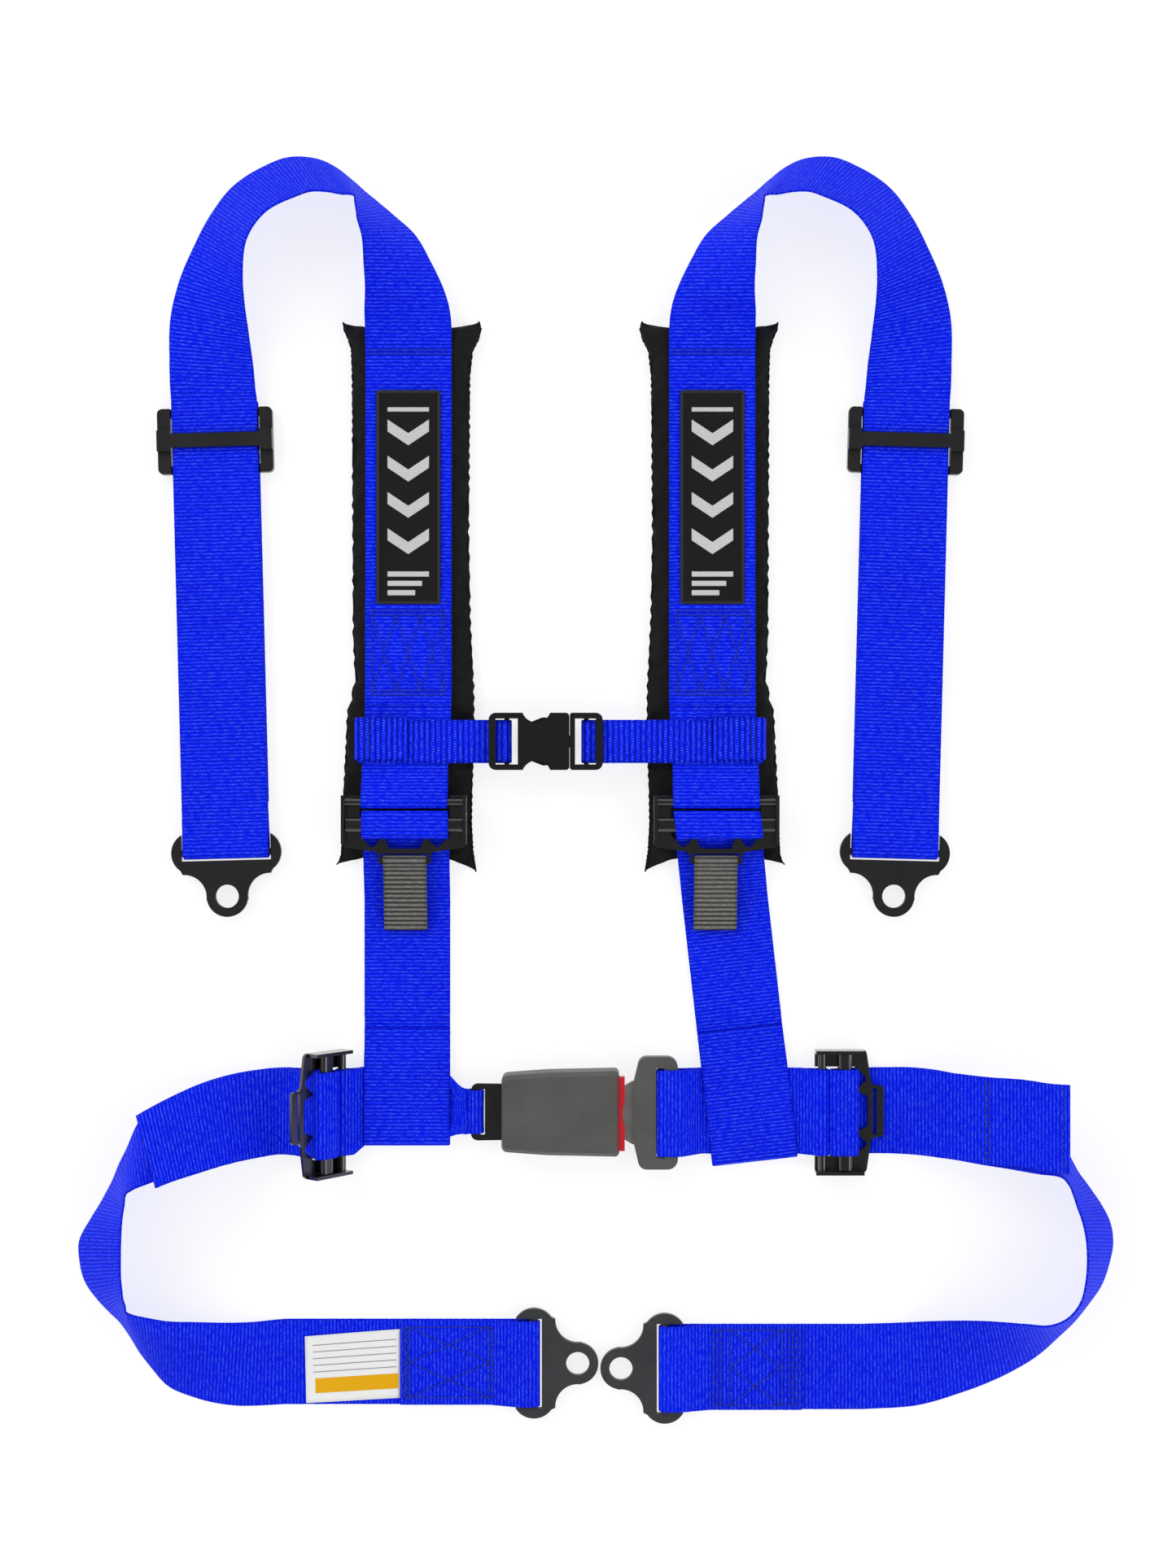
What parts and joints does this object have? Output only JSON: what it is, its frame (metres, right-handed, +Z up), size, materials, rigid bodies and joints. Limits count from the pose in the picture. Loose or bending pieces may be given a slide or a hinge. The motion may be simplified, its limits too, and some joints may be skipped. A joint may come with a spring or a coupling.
{
  "type": "racing harness",
  "caption": "Webbing racing harness laid flat: two padded shoulder belts, two lap belts, a chest strap with a side-release buckle and a push-button lap buckle.",
  "frame": {"origin": "middle of the laid-out harness, on the surface it lies on", "axes": "+X across the chest towards the tongue side, +Y towards the shoulder loops, +Z up from the surface"},
  "size_m": [0.6055, 0.7395, 0.0526],
  "materials": {
    "webbing": "matte",
    "black_webbing": "matte",
    "pad_cloth": "matte",
    "foam": "matte",
    "patch": "matte",
    "label_cloth": "matte",
    "black_steel": "satin",
    "grey_steel": "satin",
    "zinc_steel": "satin",
    "black_plastic": "satin",
    "grey_plastic": "satin",
    "red_plastic": "satin"
  },
  "bodies": {
    "left_half": {"left_pad_cover": "pad_cloth", "left_pad_foam": "foam", "left_pad_patch": "patch", "left_shoulder_strap": "webbing", "left_shoulder_tail": "webbing", "left_adjuster_strap": "webbing", "left_lower_strap": "webbing", "left_lap_link": "webbing", "left_lap_strap": "webbing", "left_lap_tail": "webbing", "care_label": "label_cloth", "buckle_upper_cover": "grey_plastic", "buckle_lower_cover": "grey_plastic", "buckle_frame": "zinc_steel", "buckle_ejector": "black_plastic", "buckle_spring": "zinc_steel", "buckle_rivets": "zinc_steel"},
    "right_half": {"right_pad_cover": "pad_cloth", "right_pad_foam": "foam", "right_pad_patch": "patch", "right_shoulder_strap": "webbing", "right_shoulder_tail": "webbing", "right_adjuster_strap": "webbing", "right_lower_strap": "webbing", "right_lap_link": "webbing", "right_lap_strap": "webbing", "right_lap_tail": "webbing", "tongue_plate": "zinc_steel", "tongue_cover": "grey_plastic"},
    "left_chest": {"left_chest_strap": "webbing", "chest_buckle_socket": "black_plastic"},
    "right_chest": {"right_chest_strap": "webbing", "chest_buckle_plug": "black_plastic"},
    "prong_upper": {"chest_prong_upper": "black_plastic"},
    "prong_lower": {"chest_prong_lower": "black_plastic"},
    "press_button": {"buckle_button": "red_plastic"},
    "latch": {"buckle_latch": "zinc_steel"},
    "left_slide": {"left_top_slide": "black_steel"},
    "left_shoulder_plate": {"left_shoulder_bolt_plate": "grey_steel"},
    "left_lap_plate": {"left_lap_bolt_plate": "grey_steel"},
    "left_shoulder_lock": {"left_shoulder_adjuster": "black_steel", "left_shoulder_bight": "webbing"},
    "left_shoulder_lock_bar": {"left_shoulder_adjuster_bar": "black_steel"},
    "left_lap_lock": {"left_lap_adjuster": "black_steel", "left_lap_bight": "webbing"},
    "left_lap_lock_bar": {"left_lap_adjuster_bar": "black_steel"},
    "left_tab": {"left_pull_tab": "black_webbing"},
    "right_slide": {"right_top_slide": "black_steel"},
    "right_shoulder_plate": {"right_shoulder_bolt_plate": "grey_steel"},
    "right_lap_plate": {"right_lap_bolt_plate": "grey_steel"},
    "right_shoulder_lock": {"right_shoulder_adjuster": "black_steel", "right_shoulder_bight": "webbing"},
    "right_shoulder_lock_bar": {"right_shoulder_adjuster_bar": "black_steel"},
    "right_lap_lock": {"right_lap_adjuster": "black_steel", "right_lap_bight": "webbing"},
    "right_lap_lock_bar": {"right_lap_adjuster_bar": "black_steel"},
    "right_tab": {"right_pull_tab": "black_webbing"}
  },
  "joints": [
    {"name": "buckle_release", "type": "slide", "parent": "left_half", "child": "right_half", "axis": [1, 0, 0], "range_m": [0, 0.05]},
    {"name": "left_chest_height", "type": "slide", "parent": "left_half", "child": "left_chest", "axis": [0, 1, 0], "range_m": [-0.006, 0.006]},
    {"name": "right_chest_height", "type": "slide", "parent": "right_half", "child": "right_chest", "axis": [0, 1, 0], "range_m": [-0.006, 0.006]},
    {"name": "prong_upper_squeeze", "type": "hinge", "parent": "right_chest", "child": "prong_upper", "pos_m": [-0.0151, 0.0388, 0.0141], "axis": [0, 0, 1], "range_deg": [0, 8], "stiffness_Nm_per_rad": 0.15},
    {"name": "prong_lower_squeeze", "type": "hinge", "parent": "right_chest", "child": "prong_lower", "pos_m": [-0.0151, 0.0164, 0.0141], "axis": [0, 0, -1], "range_deg": [0, 8], "stiffness_Nm_per_rad": 0.15},
    {"name": "button_press", "type": "slide", "parent": "left_half", "child": "press_button", "axis": [-1, 0, 0], "range_m": [0, 0.0045], "stiffness_N_per_m": 400},
    {"name": "latch_lift", "type": "hinge", "parent": "left_half", "child": "latch", "pos_m": [-0.024, -0.1875, 0.0132], "axis": [0, -1, 0], "range_deg": [0, 5.5]},
    {"name": "left_slide_travel", "type": "slide", "parent": "left_half", "child": "left_slide", "axis": [-0.0262, 0.9997, 0], "range_m": [-0.14, 0.001]},
    {"name": "left_shoulder_plate_swing", "type": "hinge", "parent": "left_half", "child": "left_shoulder_plate", "pos_m": [-0.21472, -0.03692, 0.0041], "axis": [-0.9997, -0.0262, 0], "range_deg": [0, 45]},
    {"name": "left_shoulder_lock_tilt", "type": "hinge", "parent": "left_half", "child": "left_shoulder_lock", "pos_m": [-0.11, -0.0075, 0.0167], "axis": [-1, 0, 0], "range_deg": [0, 40]},
    {"name": "left_shoulder_lock_grip", "type": "slide", "parent": "left_shoulder_lock", "child": "left_shoulder_lock_bar", "axis": [0, 1, 0], "range_m": [-0.002, 0.002]},
    {"name": "left_tab_lift", "type": "hinge", "parent": "left_shoulder_lock", "child": "left_tab", "pos_m": [-0.11, -0.0415, 0.013], "axis": [-1, 0, 0], "range_deg": [0, 80]},
    {"name": "left_lap_lock_tilt", "type": "hinge", "parent": "left_half", "child": "left_lap_lock", "pos_m": [-0.147, -0.1875, 0.0084], "axis": [0, 1, 0], "range_deg": [-8, 25]},
    {"name": "left_lap_lock_grip", "type": "slide", "parent": "left_lap_lock", "child": "left_lap_lock_bar", "axis": [0.6428, 0, -0.766], "range_m": [-0.002, 0.002]},
    {"name": "left_lap_plate_swing", "type": "hinge", "parent": "left_half", "child": "left_lap_plate", "pos_m": [-0.0355, -0.3345, 0.0041], "axis": [0, -1, 0], "range_deg": [0, 45]},
    {"name": "right_slide_travel", "type": "slide", "parent": "right_half", "child": "right_slide", "axis": [0.0262, 0.9997, 0], "range_m": [-0.14, 0.001]},
    {"name": "right_shoulder_plate_swing", "type": "hinge", "parent": "right_half", "child": "right_shoulder_plate", "pos_m": [0.17472, -0.03692, 0.0041], "axis": [-0.9997, 0.0262, 0], "range_deg": [0, 45]},
    {"name": "right_shoulder_lock_tilt", "type": "hinge", "parent": "right_half", "child": "right_shoulder_lock", "pos_m": [0.07, -0.0075, 0.0167], "axis": [-1, 0, 0], "range_deg": [0, 40]},
    {"name": "right_shoulder_lock_grip", "type": "slide", "parent": "right_shoulder_lock", "child": "right_shoulder_lock_bar", "axis": [0, 1, 0], "range_m": [-0.002, 0.002]},
    {"name": "right_tab_lift", "type": "hinge", "parent": "right_shoulder_lock", "child": "right_tab", "pos_m": [0.07, -0.0415, 0.013], "axis": [-1, 0, 0], "range_deg": [0, 80]},
    {"name": "right_lap_lock_tilt", "type": "hinge", "parent": "right_half", "child": "right_lap_lock", "pos_m": [0.132, -0.1875, 0.0084], "axis": [0, -1, 0], "range_deg": [0, 40]},
    {"name": "right_lap_lock_grip", "type": "slide", "parent": "right_lap_lock", "child": "right_lap_lock_bar", "axis": [-1, 0, 0], "range_m": [-0.002, 0.002]},
    {"name": "right_lap_plate_swing", "type": "hinge", "parent": "right_half", "child": "right_lap_plate", "pos_m": [0.0407, -0.3375, 0.0041], "axis": [0, 1, 0], "range_deg": [0, 45]}
  ],
  "couplings": [
    {"joint": "right_chest_height", "follows": "left_chest_height", "ratio": 1},
    {"joint": "prong_lower_squeeze", "follows": "prong_upper_squeeze", "ratio": 1},
    {"joint": "latch_lift", "follows": "button_press", "rad_per_m": 20.944}
  ]
}
